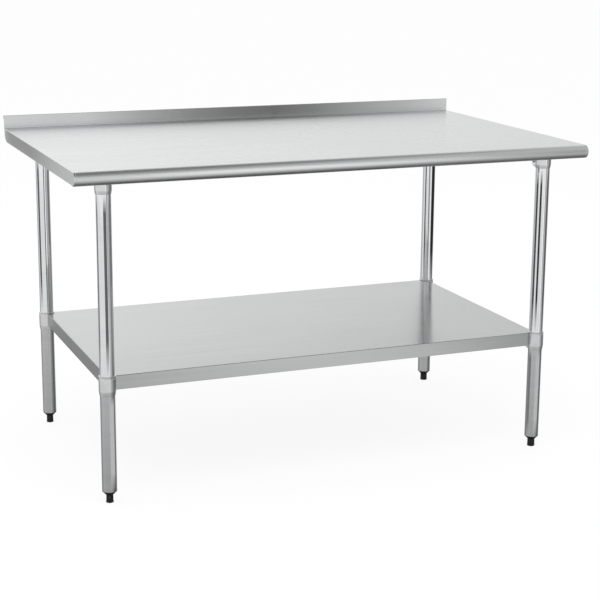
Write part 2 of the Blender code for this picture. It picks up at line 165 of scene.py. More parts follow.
# Strips beside a leg, set against the photo: heading in degrees, width and level.
STRIP_GAP = 0.004
STRIP_FADE = 0.2
LEG_STRIPS = {
    "front_left": [(-5.0, 0.0115, 0.16), (-88.0, 0.010, 0.25)],
    "rear_left": [(-62.0, 0.0100, 0.14), (-1.5, 0.0040, 0.16)],
    "front_right": [(-76.0, 0.0100, 0.08), (-37.0, 0.0080, 0.05), (44.0, 0.016, 0.14)],
    "rear_right": [(-59.0, 0.0060, 0.08), (-18.0, 0.0050, 0.28), (42.0, 0.026, 0.03)],
}
# The same, below the shelf.
LOW_STRIPS = {
    "front_left": [(28.0, 0.024, 0.95)],
    "front_right": [(8.0, 0.020, 0.95), (-78.0, 0.012, 0.35)],
}


# Shapes.


def arc(centre, radius, start, end, steps):
    """Points along an arc in a plane, from the start angle to the end angle in degrees."""
    points = []
    for step in range(steps + 1):
        angle = math.radians(start + (end - start) * step / steps)
        points.append((centre[0] + radius * math.cos(angle), centre[1] + radius * math.sin(angle)))
    return points


def filleted(points, steps=5):
    """A closed outline. Each point is (across, up, radius), and the radius rounds its corner."""
    outline = []
    count = len(points)
    for index, (across, up, radius) in enumerate(points):
        corner = Vector((across, up))
        if radius <= 0:
            outline.append((across, up))
            continue
        before = (Vector(points[index - 1][:2]) - corner).normalized()
        after = (Vector(points[(index + 1) % count][:2]) - corner).normalized()
        half = before.angle(after) / 2
        reach = radius / math.tan(half)
        centre = corner + (before + after).normalized() * radius / math.sin(half)
        first = corner + before * reach - centre
        last = corner + after * reach - centre
        turn = first.angle_signed(last)
        for step in range(steps + 1):
            spoke = first.copy()
            spoke.rotate(Matrix.Rotation(-turn * step / steps, 2))
            outline.append(tuple(centre + spoke))
    return outline


def mesh_from(bm, name):
    bmesh.ops.recalc_face_normals(bm, faces=bm.faces)
    mesh = bpy.data.meshes.new(name)
    bm.to_mesh(mesh)
    bm.free()
    return mesh


def smoothed(mesh, degrees=35):
    mesh.shade_smooth()
    mesh.set_sharp_from_angle(angle=math.radians(degrees))
    return mesh


def soften(bm, edges, radius, steps):
    bmesh.ops.bevel(bm, geom=edges, offset=radius, segments=steps, profile=0.5, affect="EDGES")


def bridge(bm, lower, upper):
    """Joins two rings of vertices with faces."""
    for index in range(len(lower)):
        after = (index + 1) % len(lower)
        bm.faces.new((lower[index], lower[after], upper[after], upper[index]))


def loft(name, rows, joined_ends=False, place=None):
    """A surface through rows of points. Its ends are capped, or joined to make a ring."""
    bm = bmesh.new()
    made = [[bm.verts.new(point) for point in row] for row in rows]
    pairs = list(zip(made, made[1:]))
    if joined_ends:
        pairs.append((made[-1], made[0]))
    for lower, upper in pairs:
        bridge(bm, lower, upper)
    if not joined_ends:
        bm.faces.new(made[0])
        bm.faces.new(made[-1])
    if place is not None:
        bmesh.ops.transform(bm, matrix=place, verts=bm.verts)
    return mesh_from(bm, name)


def circle(radius, height, steps):
    points = []
    for step in range(steps):
        angle = 2 * math.pi * step / steps
        points.append((radius * math.cos(angle), radius * math.sin(angle), height))
    return points


def turned(name, outline, steps):
    """A ring about Z, turned from its closed section of (radius, height) points."""
    rows = [circle(radius, height, steps) for radius, height in outline]
    return loft(name, rows, joined_ends=True)


def prism(name, outline, thickness, place, edge):
    """A plate of an outline in its own XY plane, with softened edges, then placed."""
    bm = bmesh.new()
    low = bm.faces.new([bm.verts.new((x, y, -thickness / 2)) for x, y in outline])
    made = bmesh.ops.extrude_face_region(bm, geom=[low])["geom"]
    moved = [item for item in made if isinstance(item, bmesh.types.BMVert)]
    bmesh.ops.translate(bm, vec=(0.0, 0.0, thickness), verts=moved)
    soften(bm, bm.edges[:], edge, 2)
    bmesh.ops.transform(bm, matrix=place, verts=bm.verts)
    return mesh_from(bm, name)


def along(direction):
    """The turn from +Z to a direction."""
    turn = Vector((0.0, 0.0, 1.0)).rotation_difference(Vector(direction).normalized())
    return turn.to_matrix().to_4x4()


def rod(name, radius, start, end, direction, steps=SMALL_STEPS, edge=0.0):
    """A round bar along a direction through the origin, with softened ends."""
    rows = [circle(radius, start, steps), circle(radius, end, steps)]
    if edge > 0:
        rows = [
            circle(radius - edge, start, steps),
            circle(radius, start + edge, steps),
            circle(radius, end - edge, steps),
            circle(radius - edge / 3, end - edge / 4, steps),
            circle(radius - edge, end, steps),
        ]
    return loft(name, rows, place=along(direction))


def threaded_rows(radius, depth, pitch, start, end):
    """Rings of points whose radius follows a right-hand thread, with a lead-in at each end."""
    count = round((end - start) / pitch * THREAD_ROWS)
    rows = []
    for row in range(count + 1):
        height = start + (end - start) * row / count
        lead = min(1.0, (height - start) / pitch, (end - height) / pitch)
        ring = []
        for step in range(THREAD_STEPS):
            share = step / THREAD_STEPS
            phase = (height / pitch - share) % 1.0
            crest = 1 - abs(2 * phase - 1)
            reach = radius - depth * (1 - crest * lead)
            angle = 2 * math.pi * share
            ring.append((reach * math.cos(angle), reach * math.sin(angle), height))
        rows.append(ring)
    return rows


def polygon_ring(sides, corner_radius, height, steps, turn=0.0):
    """Points round a regular polygon, at even angles. Steps is a multiple of its sides."""
    flat = corner_radius * math.cos(math.pi / sides)
    points = []
    for step in range(steps):
        angle = 2 * math.pi * step / steps
        off_flat = (angle % (2 * math.pi / sides)) - math.pi / sides
        reach = flat / math.cos(off_flat)
        points.append((reach * math.cos(angle + turn), reach * math.sin(angle + turn), height))
    return points


def add_object(name, data):
    added = bpy.data.objects.new(name, data)
    bpy.context.scene.collection.objects.link(added)
    return added


def evaluated_mesh(obj, name):
    """The object's mesh with its modifiers applied. The object itself is removed."""
    graph = bpy.context.evaluated_depsgraph_get()
    mesh = bpy.data.meshes.new_from_object(obj.evaluated_get(graph))
    mesh.name = name
    bpy.data.objects.remove(obj, do_unlink=True)
    return mesh


def carved(name, body, joined, cut):
    """One smooth-shaded mesh: the body, with meshes joined on and then others cut out."""
    target = add_object("helper", body)
    helpers = []
    for operation, meshes in (("UNION", joined), ("DIFFERENCE", cut)):
        for mesh in meshes:
            helper = add_object("helper", mesh)
            helpers.append(helper)
            boolean = target.modifiers.new(operation.title(), "BOOLEAN")
            boolean.operation = operation
            boolean.solver = "EXACT"
            boolean.object = helper
    mesh = evaluated_mesh(target, name)
    for helper in helpers:
        bpy.data.objects.remove(helper, do_unlink=True)
    return smoothed(mesh)


def add_piece(name, mesh, material, body, replaced=(), place=None):
    """Adds a finished mesh that rides on a body."""
    piece = add_object(name, mesh)
    if not mesh.materials:
        mesh.materials.append(material)
    if place is not None:
        piece.matrix_world = place
    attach(piece, body)
    if replaced:
        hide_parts(*replaced)
    return piece


# Folded sheets.


def finished_sheet(name, bm, unroll):
    """Gives an open sheet its thickness, and lays it flat again in a UV map."""
    bmesh.ops.recalc_face_normals(bm, faces=bm.faces)
    deck = max(bm.faces, key=lambda face: face.calc_area())
    if deck.normal.z < 0:
        bmesh.ops.reverse_faces(bm, faces=bm.faces)
    mesh = bpy.data.meshes.new(name)
    bm.to_mesh(mesh)
    bm.free()
    mesh.shade_smooth()
    sheet = add_object("helper", mesh)
    solidify = sheet.modifiers.new("Sheet", "SOLIDIFY")
    solidify.thickness = SHEET
    solidify.offset = -1.0
    solidify.use_even_offset = True
    mesh = smoothed(evaluated_mesh(sheet, name), 32)
    weighted = add_object("helper", mesh)
    normals = weighted.modifiers.new("Normals", "WEIGHTED_NORMAL")
    normals.keep_sharp = True
    mesh = evaluated_mesh(weighted, name)
    layer = mesh.uv_layers.new(name=SHEET_UV)
    for polygon in mesh.polygons:
        for loop in polygon.loop_indices:
            point = mesh.vertices[mesh.loops[loop].vertex_index].co
            layer.data[loop].uv = unroll(point, polygon.normal)
    return mesh


def worktop_mesh(low, high, deck_z):
    """The profile of rolled front edge, deck and rear upstand run along X, with side aprons."""
    nose_radius = (deck_z - low.z) / 2
    nose_y = low.y + nose_radius
    nose_z = deck_z - nose_radius
    wall_y = high.y - HEM_DEPTH
    profile = [(nose_y + NOSE_RETURN, low.z)]
    profile += arc((nose_y, nose_z), nose_radius, 270, 90, NOSE_STEPS)
    profile += arc((wall_y - COVE_RADIUS, deck_z + COVE_RADIUS), COVE_RADIUS, -90, 0, COVE_STEPS)
    bend_z = high.z - HEM_RADIUS
    profile += arc((wall_y + HEM_RADIUS, bend_z), HEM_RADIUS, 180, 90, HEM_STEPS)
    profile += arc((high.y - HEM_RADIUS, bend_z), HEM_RADIUS, 90, 0, HEM_STEPS)
    profile.append((high.y, high.z - HEM_DROP))
    bm = bmesh.new()
    rows = [[bm.verts.new((x, y, z)) for y, z in profile] for x in (low.x, high.x)]
    for index in range(len(profile) - 1):
        left, right = rows
        bm.faces.new((left[index], left[index + 1], right[index + 1], right[index]))
    shared_count = NOSE_STEPS + 3
    rear_y = profile[shared_count - 1][0]
    cut = []
    for step in range(REAR_CUT_STEPS + 1):
        angle = math.pi / 2 * step / REAR_CUT_STEPS
        y = rear_y - REAR_CUT_LENGTH * (1 - math.cos(angle))
        cut.append((y, low.z + REAR_CUT_HEIGHT * (1 - math.sin(angle))))
    folds = []
    for row, x in zip(rows, (low.x, high.x)):
        shared = row[:shared_count]
        bm.faces.new([*shared, *(bm.verts.new((x, y, z)) for y, z in cut)])
        folds += [bm.edges.get(pair) for pair in zip(shared, shared[1:])]
    bmesh.ops.recalc_face_normals(bm, faces=bm.faces)
    soften(bm, folds, FOLD_RADIUS, FOLD_STEPS)

    def unroll(point, normal):
        if abs(normal.x) > 0.7:
            return point.y, math.copysign(high.x + deck_z - point.z, point.x)
        if point.y < nose_y:
            turn = math.atan2(nose_y - point.y, point.z - nose_z)
            return nose_y - nose_radius * turn, point.x
        return point.y + max(0.0, point.z - deck_z), point.x

    return finished_sheet("worktop_sheet", bm, unroll)


def split_deck(bm, low, high):
    """Cuts a sheet clear of its corners, so that no thin triangle runs across its deck."""
    for axis in (0, 1):
        for place in (low[axis] + DECK_SPLIT, high[axis] - DECK_SPLIT):
            point = [0.0, 0.0, 0.0]
            normal = [0.0, 0.0, 0.0]
            point[axis] = place
            normal[axis] = 1.0
            parts = bm.verts[:] + bm.edges[:] + bm.faces[:]
            bmesh.ops.bisect_plane(bm, geom=parts, plane_co=point, plane_no=normal)


def shelf_mesh(low, high, axes, notch):
    """A deck with a round notch at each leg, and an apron folded down along each side."""
    bm = bmesh.new()
    outline = []
    for turn, corner in zip((0, 90, 180, 270), CORNERS):
        outline += arc(axes[corner], notch, 90 + turn, turn, NOTCH_STEPS)
    rim = [bm.verts.new((x, y, high.z)) for x, y in outline]
    bm.faces.new(rim)
    folds = []
    for start in range(NOTCH_STEPS, len(rim), NOTCH_STEPS + 1):
        folds.append(bm.edges.get((rim[start], rim[(start + 1) % len(rim)])))
    made = bmesh.ops.extrude_edge_only(bm, edges=folds)["geom"]
    lowered = [item for item in made if isinstance(item, bmesh.types.BMVert)]
    bmesh.ops.translate(bm, vec=(0.0, 0.0, low.z - high.z), verts=lowered)
    bmesh.ops.recalc_face_normals(bm, faces=bm.faces)
    creases = [edge for edge in bm.edges if len(edge.link_faces) == 2]
    soften(bm, creases, FOLD_RADIUS, FOLD_STEPS)

    def unroll(point, _normal):
        drop = high.z - point.z
        if min(point.x - low.x, high.x - point.x) < 2 * FOLD_RADIUS:
            return point.y, point.x + math.copysign(drop, point.x)
        return point.y + math.copysign(drop, point.y), point.x

    split_deck(bm, low, high)
    return finished_sheet("undershelf_sheet", bm, unroll)


def seam_mesh(name, x, low, deck_z):
    """The ground weld round the rolled edge, where its end is closed."""
    nose_radius = (deck_z - low.z) / 2
    centre = (low.y + nose_radius, deck_z - nose_radius)
    rows = []
    for y, z in arc(centre, nose_radius, *SEAM_ARC, NOSE_STEPS):
        outward = Vector((0.0, y - centre[0], z - centre[1])).normalized()
        ring = []
        for across, up in arc((0.0, 0.0), SEAM_RADIUS, 0, 315, 7):
            ring.append(Vector((x + across, y, z)) + outward * (up * SEAM_FLATNESS))
        rows.append(ring)
    return smoothed(loft(name, rows), 60)


# Turned and cast pieces.


def tube_mesh(radius, bottom, top):
    """A leg tube with rounded rims. Its UV map runs up the tube, then round it."""
    rim = TUBE_WALL / 3
    inner = radius - TUBE_WALL
    section = [(radius, top, rim), (radius, bottom, rim), (inner, bottom, rim), (inner, top, rim)]
    mesh = smoothed(turned("leg_tube", filleted(section, 3), LEG_STEPS), 50)
    layer = mesh.uv_layers.new(name=SHEET_UV)
    for polygon in mesh.polygons:
        middle = math.atan2(polygon.center.y, polygon.center.x)
        for loop in polygon.loop_indices:
            point = mesh.vertices[mesh.loops[loop].vertex_index].co
            turn = math.atan2(point.y, point.x)
            turn += 2 * math.pi * round((middle - turn) / (2 * math.pi))
            layer.data[loop].uv = (point.z, turn * radius)
    return mesh


def upright(angle, offset):
    """Places a flat outline upright, standing out from a leg's axis at an angle about Z."""
    place = Matrix.Rotation(angle, 4, "Z") @ Matrix.Translation((0.0, offset, 0.0))
    return place @ Matrix.Rotation(math.pi / 2, 4, "X")


def rib_mesh(start, reach, top, bottom, curve):
    outline = [(start, top), (reach, top)]
    for step in range(9):
        angle = math.pi / 2 * step / 8
        height = bottom + curve * (1 - math.sin(angle))
        outline.append((start + (reach - start) * math.cos(angle), height))
    return prism("rib", outline, RIB_THICKNESS, upright(math.pi / 4, 0.0), CAST_EDGE)


def boss_and_holes(leg_radius, screw_z, low, high):
    """The boss that is joined on, then the screw hole and the leg's bore that are cut out."""
    lift = Matrix.Translation((0.0, 0.0, screw_z))
    diagonal = (1.0, 1.0, 0.0)
    boss = rod("boss", BOSS_RADIUS, leg_radius + OVERLAP, BOSS_REACH, diagonal, edge=CAST_EDGE)
    hole = rod("hole", SCREW_HOLE_RADIUS, 0.0, 2 * BOSS_REACH, diagonal)
    boss.transform(lift)
    hole.transform(lift)
    bore_radius = leg_radius + BORE_CLEARANCE
    bore = rod("bore", bore_radius, low, high, (0.0, 0.0, 1.0), SLEEVE_STEPS)
    return boss, [bore, hole]


def socket_mesh(radius, leg_radius, plate_side, top, bottom, screw_z):
    """A leg socket: a sleeve under a square plate, with a rib and a boss on its inner corner."""
    lip = leg_radius + LIP_CLEARANCE + BORE_CLEARANCE
    under = top - PLATE_THICKNESS
    core = leg_radius / 2
    sleeve = [
        (core, under + OVERLAP / 2, 0.0),
        (radius, under + OVERLAP / 2, 0.0),
        (radius, bottom + SOCKET_TAPER, 0.002),
        (lip, bottom, 0.0003),
        (core, bottom, 0.0),
    ]
    half = plate_side / 2
    signs = ((-1, -1), (1, -1), (1, 1), (-1, 1))
    corners = [(across * half, up * half, PLATE_CORNER) for across, up in signs]
    place = Matrix.Translation((0.0, 0.0, top - PLATE_THICKNESS / 2))
    plate = prism("plate", filleted(corners), PLATE_THICKNESS, place, CAST_EDGE)
    lap = OVERLAP / 2
    rib = rib_mesh(leg_radius + lap, SOCKET_RIB_REACH, under + lap, bottom + lap, SOCKET_RIB_CURVE)
    boss, cut = boss_and_holes(leg_radius, screw_z, bottom - OVERLAP, under)
    sleeve_mesh = turned("sleeve", filleted(sleeve), SLEEVE_STEPS)
    return carved("socket_casting", sleeve_mesh, [plate, rib, boss], cut)


def collar_mesh(radius, leg_radius, reach, top, deck, bottom, screw_z):
    """A shelf collar: a sleeve with a beaded rim and a tapered foot, two ears, a rib, a boss."""
    lip = leg_radius + LIP_CLEARANCE + BORE_CLEARANCE
    core = leg_radius / 2
    bead = 0.0022
    neck = radius - 0.0007
    sleeve = [
        (core, top, 0.0),
        (radius, top, 0.0010),
        (radius, top - bead, 0.0008),
        (neck, top - bead * 1.5, 0.0008),
        (neck, top - bead * 2.4, 0.0008),
        (radius, top - bead * 3.2, 0.0008),
        (radius, bottom + COLLAR_TAPER, 0.0015),
        (lip, bottom, 0.0003),
        (core, bottom, 0.0),
    ]
    under = deck - SHEET - NOTCH_GAP
    start = leg_radius + OVERLAP / 2
    outline = [(start, under), (reach, under), (reach, deck - EAR_DEPTH)]
    for step in range(1, 9):
        angle = math.pi / 2 * step / 8
        drop = EAR_DEPTH + EAR_CURVE * (1 - math.cos(angle))
        outline.append((reach - (reach - start) * math.sin(angle), deck - drop))
    inside = SHEET + NOTCH_GAP + EAR_THICKNESS / 2
    ears = [
        prism("ear", outline, EAR_THICKNESS, upright(0.0, inside), CAST_EDGE / 2),
        prism("ear", outline, EAR_THICKNESS, upright(math.pi / 2, -inside), CAST_EDGE / 2),
    ]
    rib = rib_mesh(start, COLLAR_RIB_REACH, under, bottom + OVERLAP / 2, COLLAR_RIB_CURVE)
    boss, cut = boss_and_holes(leg_radius, screw_z, bottom - OVERLAP, top + OVERLAP)
    sleeve_mesh = turned("sleeve", filleted(sleeve), SLEEVE_STEPS)
    return carved("collar_casting", sleeve_mesh, [*ears, rib, boss], cut)


def set_screw_mesh(start, end, radius):
    """A set screw along +X from the leg outwards: a thread, then a chamfer and a key socket."""
    key_radius = 0.0022
    rows = threaded_rows(radius, SCREW_THREAD, SCREW_PITCH, start, end - 0.0004)
    rows.append(circle(radius - SCREW_THREAD * 1.4, end, THREAD_STEPS))
    rows.append(polygon_ring(6, key_radius, end, THREAD_STEPS))
    rows.append(polygon_ring(6, key_radius, end - 0.004, THREAD_STEPS))
    return smoothed(loft("set_screw", rows, place=along((1.0, 0.0, 0.0))))


def stud_mesh(radius, bottom, top):
    return smoothed(loft("foot_thread", threaded_rows(radius, STUD_THREAD, STUD_PITCH, bottom, top)))


def insert_mesh(leg_radius, leg_bottom, bottom, top, bore):
    """A plastic plug in the leg's end, with a lead-in at its top and a cone below its lip."""
    plug = leg_radius - TUBE_WALL - 0.0003
    lip_top = leg_bottom - 0.0003
    section = [
        (bore, top, 0.0004),
        (plug - 0.001, top, 0.0006),
        (plug, top - 0.003, 0.0006),
        (plug, lip_top, 0.0),
        (leg_radius, lip_top, 0.0002),
        (leg_radius, lip_top - 0.001, 0.0004),
        (0.0186, lip_top - 0.0026, 0.001),
        (0.0120, bottom, 0.0006),
        (bore, bottom, 0.0003),
    ]
    return smoothed(turned("insert_plug", filleted(section, 4), SLEEVE_STEPS), 40)


def foot_mesh(low, high, bore, stud_bottom, turn):
    """A hexagonal foot with soft corners, a floor pad, and a hole that the stud stands in."""
    steps = 96
    bottom_radius = 0.0120
    top_radius = 0.0112

    def ring(radius, height):
        points = []
        for x, y, z in polygon_ring(6, radius, height, steps, turn):
            reach = math.hypot(x, y)
            limit = radius * 0.975
            held = min(reach, limit + (reach - limit) * 0.35)
            points.append((x / reach * held, y / reach * held, z))
        return points

    def round_ring(radius, height):
        return polygon_ring(steps, radius, height, steps, turn)

    waist = low + 0.0032
    rows = [
        ring(bottom_radius - 0.0012, low),
        ring(bottom_radius - 0.0003, low + 0.0004),
        ring(bottom_radius, low + 0.0012),
        ring(bottom_radius - 0.0001, waist),
        ring(bottom_radius - 0.0006, waist + 0.0004),
        ring(top_radius, high - 0.0016),
        ring(top_radius - 0.0003, high - 0.0007),
        ring(top_radius - 0.0011, high - 0.0001),
        ring(top_radius - 0.0018, high),
        round_ring(bore + 0.0004, high),
        round_ring(bore, high - 0.0004),
        round_ring(bore, stud_bottom - 0.0003),
    ]
    return smoothed(loft("foot_block", rows), 30)


def weld_mesh(name, start, end, radius):
    """A hand-laid weld bead between two points, with the ripples of its puddles."""
    start, end = Vector(start), Vector(end)
    length = (end - start).length
    forward = (end - start) / length
    side = forward.cross(Vector((0.0, 0.0, 1.0)))
    up = Vector((0.0, 0.0, 1.0))
    count = max(8, round(length / BEAD_ROW))
    rows = []
    for row in range(count + 1):
        share = row / count
        centre = start + forward * length * share
        wobble = noise.noise(centre * 300) * 0.15
        ripple = 0.12 * math.cos(2 * math.pi * share * length / BEAD_RIPPLE)
        ends = math.sqrt(max(0.02, 1 - (2 * share - 1) ** 8))
        reach = radius * ends * (1 + wobble + ripple)
        ring = []
        for step in range(BEAD_SIDES):
            angle = 2 * math.pi * step / BEAD_SIDES
            ring.append(centre + side * math.cos(angle) * reach + up * math.sin(angle) * reach * 0.7)
        rows.append(ring)
    return smoothed(loft(name, rows), 60)


def dots_mesh(name, centres, radius, height):
    """Shallow round marks below a flange, one at each spot weld."""
    bm = bmesh.new()
    for centre in centres:
        rings = []
        for share, drop in ((1.0, -0.0002), (0.9, height * 0.5), (0.6, height), (0.35, height * 0.6)):
            points = circle(radius * share, 0.0, DOT_STEPS)
            rings.append([bm.verts.new(Vector(centre) + Vector((x, y, -drop))) for x, y, _ in points])
        for outer, inner in zip(rings, rings[1:]):
            bridge(bm, outer, inner)
        bm.faces.new(rings[0])
        bm.faces.new(rings[-1])
    return smoothed(mesh_from(bm, name), 60)


def add_spot_welds(node, body):
    """Two rows of spot welds under a channel's flanges."""
    low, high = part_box(node)
    size = high - low
    middle = (low + high) / 2
    run = 0 if size.x > size.y else 1
    count = round(size[run] / SPOT_SPACING)
    centres = []
    for index in range(count + 1):
        for side in (-1, 1):
            centre = middle.copy()
            centre[run] += (index / count - 0.5) * (size[run] - SPOT_MARGIN)
            centre[1 - run] += side * (size[1 - run] / 2 - SPOT_INSET)
            centre.z = high.z - SHEET
            centres.append(centre)
    dots = dots_mesh("spot_welds", centres, SPOT_RADIUS, SPOT_HEIGHT)
    add_piece(f"spot_welds_{node}", dots, GALVANISED, body)


# Materials.


def put(tree, kind, inputs=None, **settings):
    """Adds a node. An input takes a value or another node's output."""
    node = tree.nodes.new(kind)
    for name, value in settings.items():
        setattr(node, name, value)
    for name, value in (inputs or {}).items():
        socket = node.inputs[name]
        if isinstance(value, bpy.types.NodeSocket):
            tree.links.new(value, socket)
        else:
            socket.default_value = value
    return node


def calculate(tree, operation, first, second=0.0, third=0.0):
    inputs = {0: first, 1: second, 2: third}
    return put(tree, "ShaderNodeMath", inputs, operation=operation).outputs[0]


def stretched(tree, coordinates, scale):
    return put(tree, "ShaderNodeMapping", {"Vector": coordinates, "Scale": scale}).outputs[0]


def clouds(tree, coordinates, scale, detail):
    inputs = {"Vector": coordinates, "Scale": scale, "Detail": detail}
    return put(tree, "ShaderNodeTexNoise", inputs).outputs[0]


def remapped(tree, value, low, high, to_low=0.0, to_high=1.0):
    inputs = {
        "Value": value,
        "From Min": low,
        "From Max": high,
        "To Min": to_low,
        "To Max": to_high,
    }
    return put(tree, "ShaderNodeMapRange", inputs, clamp=True).outputs[0]


def blended(tree, share, first, second):
    node = put(tree, "ShaderNodeMix", data_type="RGBA")
    colours = [socket for socket in node.inputs if socket.type == "RGBA"]
    tree.links.new(share, node.inputs[0])
    for socket, colour in zip(colours, (first, second)):
        if isinstance(colour, bpy.types.NodeSocket):
            tree.links.new(colour, socket)
        else:
            socket.default_value = (*colour, 1.0)
    return next(socket for socket in node.outputs if socket.type == "RGBA")


def between(tree, share, first, second):
    """The first value where the share is 0, and the second where it is 1."""
    return put(tree, "ShaderNodeMix", {0: share, 2: first, 3: second}, data_type="FLOAT").outputs[0]


def clear_where(tree, hidden, shader):
    """A shader that turns clear where hidden is 1."""
    clear = put(tree, "ShaderNodeBsdfTransparent").outputs[0]
    return put(tree, "ShaderNodeMixShader", {0: hidden, 1: shader, 2: clear}).outputs[0]


def new_material(name, metallic):
    material = bpy.data.materials.new(name)
    material.use_nodes = True
    tree = material.node_tree
    shader = tree.nodes["Principled BSDF"]
    shader.inputs["Metallic"].default_value = metallic
    return material, tree, shader


def dress(tree, shader, colour, roughness, strength, distance, height):
    """Links a colour, a roughness and a bump to a shader."""
    inputs = {"Strength": strength, "Distance": distance, "Height": height}
    bump = put(tree, "ShaderNodeBump", inputs).outputs[0]
    for name, output in (("Base Color", colour), ("Roughness", roughness), ("Normal", bump)):
        tree.links.new(output, shader.inputs[name])


def worn_edges(tree, sharpness):
    """1 on outside edges and 0 on flat metal."""
    pointiness = put(tree, "ShaderNodeNewGeometry").outputs["Pointiness"]
    return remapped(tree, pointiness, 0.505, sharpness)


def brushed_steel(name, dark, light, roughness, spread, anisotropy, grain, streak, relief):
    """Steel brushed along its sheet's second UV direction, with faint scratches and smears."""
    material, tree, shader = new_material(name, 1.0)
    flat = put(tree, "ShaderNodeTexCoord").outputs["UV"]
    fine = clouds(tree, stretched(tree, flat, grain), 1.0, 2.0)
    bands = clouds(tree, stretched(tree, flat, streak), 1.0, 3.0)
    smears = clouds(tree, stretched(tree, flat, (5.0, 3.0, 1.0)), 1.0, 4.0)
    scratch_scale = (grain[0] * 1.3, grain[1] * 0.25, 1.0)
    scratch_noise = clouds(tree, stretched(tree, flat, scratch_scale), 1.0, 1.0)
    scratches = remapped(tree, scratch_noise, 0.70, 0.76)
    tone = calculate(tree, "MULTIPLY_ADD", bands, 0.55, calculate(tree, "MULTIPLY", fine, 0.45))
    base = blended(tree, remapped(tree, tone, 0.3, 0.8), dark, light)
    marked = blended(tree, calculate(tree, "MULTIPLY", scratches, 0.25), base, light)
    rough = calculate(tree, "MULTIPLY_ADD", smears, spread, roughness - spread / 2)
    rough = calculate(tree, "MULTIPLY_ADD", bands, spread * 0.6, rough)
    height = calculate(tree, "MULTIPLY_ADD", scratches, -0.6, fine)
    dress(tree, shader, marked, rough, 0.35, relief, height)
    tangent = put(tree, "ShaderNodeTangent", direction_type="UV_MAP", uv_map=SHEET_UV)
    tree.links.new(tangent.outputs[0], shader.inputs["Tangent"])
    shader.inputs["Anisotropic"].default_value = anisotropy
    return material


def painted_shade_below(material, height, fade, share, roughness):
    """Darkens and roughens a material under a height, as the photo's legs look below the shelf."""
    # Painted shade: the base colour is darker under the height. The roughness rises there too.
    tree = material.node_tree
    shader = next(node for node in tree.nodes if node.type == "BSDF_PRINCIPLED")
    place = put(tree, "ShaderNodeTexCoord").outputs["Object"]
    level = put(tree, "ShaderNodeSeparateXYZ", {0: place}).outputs[2]
    above = remapped(tree, level, height - fade, height + fade)
    gain = calculate(tree, "MULTIPLY_ADD", above, 1.0 - share, share)
    base = shader.inputs["Base Color"].links[0].from_socket
    painted_shade_base = put(tree, "ShaderNodeVectorMath", {0: base, "Scale": gain}, operation="SCALE")
    tree.links.new(painted_shade_base.outputs[0], shader.inputs["Base Color"])
    added = calculate(tree, "MULTIPLY_ADD", above, -roughness, roughness)
    rough = calculate(tree, "ADD", shader.inputs["Roughness"].links[0].from_socket, added)
    tree.links.new(rough, shader.inputs["Roughness"])


def spangled_steel(name, dark, light, roughness):
    """Galvanised steel with faint crystal spangles and white bloom."""
    material, tree, shader = new_material(name, 1.0)
    place = put(tree, "ShaderNodeTexCoord").outputs["Object"]
    bent = clouds(tree, place, 40.0, 3.0)
    inputs = {0: place, 1: (0.004, 0.004, 0.004), 2: bent}
    shifted = put(tree, "ShaderNodeVectorMath", inputs, operation="MULTIPLY_ADD")
    crystals = put(tree, "ShaderNodeTexVoronoi", {"Vector": shifted.outputs[0], "Scale": 110.0})
    crystals = put(tree, "ShaderNodeSeparateColor", {0: crystals.outputs["Color"]}).outputs[0]
    bloom = clouds(tree, place, 9.0, 5.0)
    tone = calculate(tree, "MULTIPLY_ADD", bloom, 0.6, calculate(tree, "MULTIPLY", crystals, 0.4))
    rough = calculate(tree, "MULTIPLY_ADD", crystals, 0.14, roughness - 0.1)
    rough = calculate(tree, "MULTIPLY_ADD", bloom, 0.1, rough)
    height = calculate(tree, "MULTIPLY_ADD", crystals, 0.3, clouds(tree, place, 700.0, 2.0))
    dress(tree, shader, blended(tree, tone, dark, light), rough, 0.2, 0.0001, height)
    return material


def cast_metal(name, dark, light, roughness):
    """A tumbled die casting: soft pitting, darker hollows and rubbed edges."""
    material, tree, shader = new_material(name, 1.0)
    place = put(tree, "ShaderNodeTexCoord").outputs["Object"]
    pits = clouds(tree, place, 900.0, 3.0)
    patches = clouds(tree, place, 55.0, 4.0)
    edges = worn_edges(tree, 0.58)
    tone = calculate(tree, "MULTIPLY_ADD", patches, 0.7, calculate(tree, "MULTIPLY", pits, 0.3))
    tone = calculate(tree, "MULTIPLY_ADD", edges, 0.5, tone)
    rough = calculate(tree, "MULTIPLY_ADD", patches, 0.12, roughness - 0.06)
    rough = calculate(tree, "MULTIPLY_ADD", edges, -0.08, rough)
    height = calculate(tree, "MULTIPLY_ADD", patches, 1.5, pits)
    dress(tree, shader, blended(tree, tone, dark, light), rough, 0.25, 0.00012, height)
    return material


def plated_screw(name, dark, light, roughness):
    """Bright zinc plating, dulled in patches and rubbed bright on the crests."""
    material, tree, shader = new_material(name, 1.0)
    place = put(tree, "ShaderNodeTexCoord").outputs["Object"]
    patches = clouds(tree, place, 180.0, 4.0)
    edges = worn_edges(tree, 0.57)
    tone = calculate(tree, "MULTIPLY_ADD", edges, 0.5, patches)
    rough = calculate(tree, "MULTIPLY_ADD", patches, 0.2, roughness - 0.1)
    fine = clouds(tree, place, 2500.0, 2.0)
    dress(tree, shader, blended(tree, tone, dark, light), rough, 0.15, 0.00005, fine)
    return material


